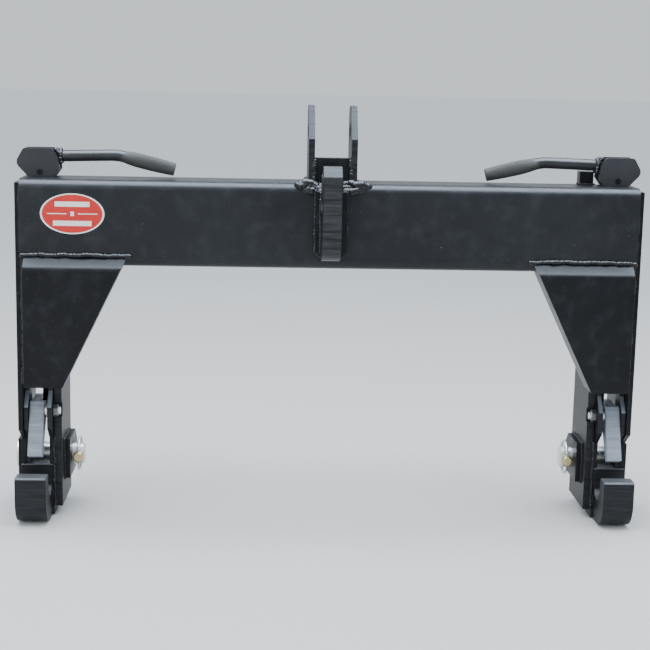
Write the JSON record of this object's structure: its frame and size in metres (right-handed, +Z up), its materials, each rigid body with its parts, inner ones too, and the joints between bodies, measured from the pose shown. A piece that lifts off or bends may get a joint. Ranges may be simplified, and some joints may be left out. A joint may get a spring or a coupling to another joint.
{
  "type": "three-point quick hitch",
  "caption": "Welded U-shaped coupling frame with hooks that catch an implement's hitch pins, spring latches with release levers, and pins for a tractor's three-point linkage.",
  "frame": {"origin": "midway between the two lower link pins, on their common axis", "axes": "+X across the frame towards its right side as seen from the implement; +Y towards the tractor; +Z up"},
  "size_m": [1.0454, 0.265, 0.686],
  "materials": {
    "black_paint": "satin black enamel",
    "satin_black": "satin black enamel with a sky sheen",
    "worn_grip": "thin worn paint over bare steel",
    "grey_paint": "light grey over flame-cut edges",
    "bright_zinc": "bright zinc plate",
    "yellow_zinc": "yellow zinc plate",
    "spring_steel": "oiled spring steel",
    "red_print": "printed vinyl"
  },
  "bodies": {
    "frame_root": {"beam_tube": "satin_black", "outer_leg_plate_left": "black_paint", "inner_leg_plate_left": "black_paint", "outer_cheek_left": "black_paint", "inner_cheek_left": "black_paint", "outer_boss_plate_left": "black_paint", "inner_boss_plate_left": "black_paint", "gusset_hood_left": "black_paint", "rod_guide_plate_left": "black_paint", "lower_hook_left": "black_paint", "lower_link_pin_left": "bright_zinc", "latch_pivot_bolt_left": "bright_zinc", "latch_pivot_nut_left": "bright_zinc", "latch_spacer_left": "bright_zinc", "return_spring_left": "spring_steel", "mast_ear_left": "black_paint", "outer_leg_plate_right": "black_paint", "inner_leg_plate_right": "black_paint", "outer_cheek_right": "black_paint", "inner_cheek_right": "black_paint", "outer_boss_plate_right": "black_paint", "inner_boss_plate_right": "black_paint", "gusset_hood_right": "black_paint", "rod_guide_plate_right": "black_paint", "lower_hook_right": "black_paint", "lower_link_pin_right": "bright_zinc", "latch_pivot_bolt_right": "bright_zinc", "latch_pivot_nut_right": "bright_zinc", "latch_spacer_right": "bright_zinc", "return_spring_right": "spring_steel", "mast_ear_right": "black_paint", "mast_cross_plate": "black_paint", "top_hook": "satin_black", "top_hook_backing": "black_paint", "oval_label": "red_print", "lever_stop_right": "black_paint"},
    "rod_left": {"release_rod_left": "black_paint", "rod_cross_pin_left": "bright_zinc", "spring_washer_left": "bright_zinc", "cam_pin_left": "bright_zinc"},
    "lever_left": {"cam_plate_front_left": "satin_black", "cam_plate_rear_left": "satin_black", "handle_left": "worn_grip"},
    "swing_latch_left": {"latch_left": "grey_paint"},
    "link_left": {"linchpin_left": "yellow_zinc"},
    "hoop_left": {"linchpin_ring_left": "yellow_zinc"},
    "rod_right": {"release_rod_right": "black_paint", "rod_cross_pin_right": "bright_zinc", "spring_washer_right": "bright_zinc", "cam_pin_right": "bright_zinc"},
    "lever_right": {"cam_plate_front_right": "satin_black", "cam_plate_rear_right": "satin_black", "handle_right": "worn_grip"},
    "swing_latch_right": {"latch_right": "grey_paint"},
    "link_right": {"linchpin_right": "yellow_zinc"},
    "hoop_right": {"linchpin_ring_right": "yellow_zinc"}
  },
  "joints": [
    {"name": "rod_lift_left", "type": "slide", "parent": "frame_root", "child": "rod_left", "axis": [0, 0, 1], "range_m": [0, 0.0385], "deforming": ["return_spring_left"]},
    {"name": "lever_turn_left", "type": "hinge", "parent": "rod_left", "child": "lever_left", "pos_m": [-0.472, -0.044, 0.4856], "axis": [0, -1, 0], "range_deg": [0, 119.3]},
    {"name": "latch_swing_left", "type": "hinge", "parent": "frame_root", "child": "swing_latch_left", "pos_m": [-0.4785, -0.075, 0.092], "axis": [1, 0, 0], "range_deg": [0, 41]},
    {"name": "linchpin_pull_left", "type": "slide", "parent": "frame_root", "child": "link_left", "axis": [0, -1, 0], "range_m": [0, 0.06]},
    {"name": "ring_turn_left", "type": "hinge", "parent": "link_left", "child": "hoop_left", "pos_m": [-0.4191, -0.028, 0], "axis": [0, 0, -1], "range_deg": [0, 163]},
    {"name": "rod_lift_right", "type": "slide", "parent": "frame_root", "child": "rod_right", "axis": [0, 0, 1], "range_m": [0, 0.0385], "deforming": ["return_spring_right"]},
    {"name": "lever_turn_right", "type": "hinge", "parent": "rod_right", "child": "lever_right", "pos_m": [0.472, -0.044, 0.4856], "axis": [0, 1, 0], "range_deg": [0, 119.3]},
    {"name": "latch_swing_right", "type": "hinge", "parent": "frame_root", "child": "swing_latch_right", "pos_m": [0.4785, -0.075, 0.092], "axis": [1, 0, 0], "range_deg": [0, 41]},
    {"name": "linchpin_pull_right", "type": "slide", "parent": "frame_root", "child": "link_right", "axis": [0, -1, 0], "range_m": [0, 0.06]},
    {"name": "ring_turn_right", "type": "hinge", "parent": "link_right", "child": "hoop_right", "pos_m": [0.4191, -0.028, 0], "axis": [0, 0, 1], "range_deg": [0, 163]}
  ],
  "couplings": [
    {"joint": "rod_lift_left", "follows": "lever_turn_left", "m_per_rad": 0.018335},
    {"joint": "latch_swing_left", "follows": "lever_turn_left", "ratio": 0.338},
    {"joint": "ring_turn_left", "follows": "linchpin_pull_left", "rad_per_m": 47.12},
    {"joint": "rod_lift_right", "follows": "lever_turn_right", "m_per_rad": 0.018335},
    {"joint": "latch_swing_right", "follows": "lever_turn_right", "ratio": 0.338},
    {"joint": "ring_turn_right", "follows": "linchpin_pull_right", "rad_per_m": 47.12}
  ]
}
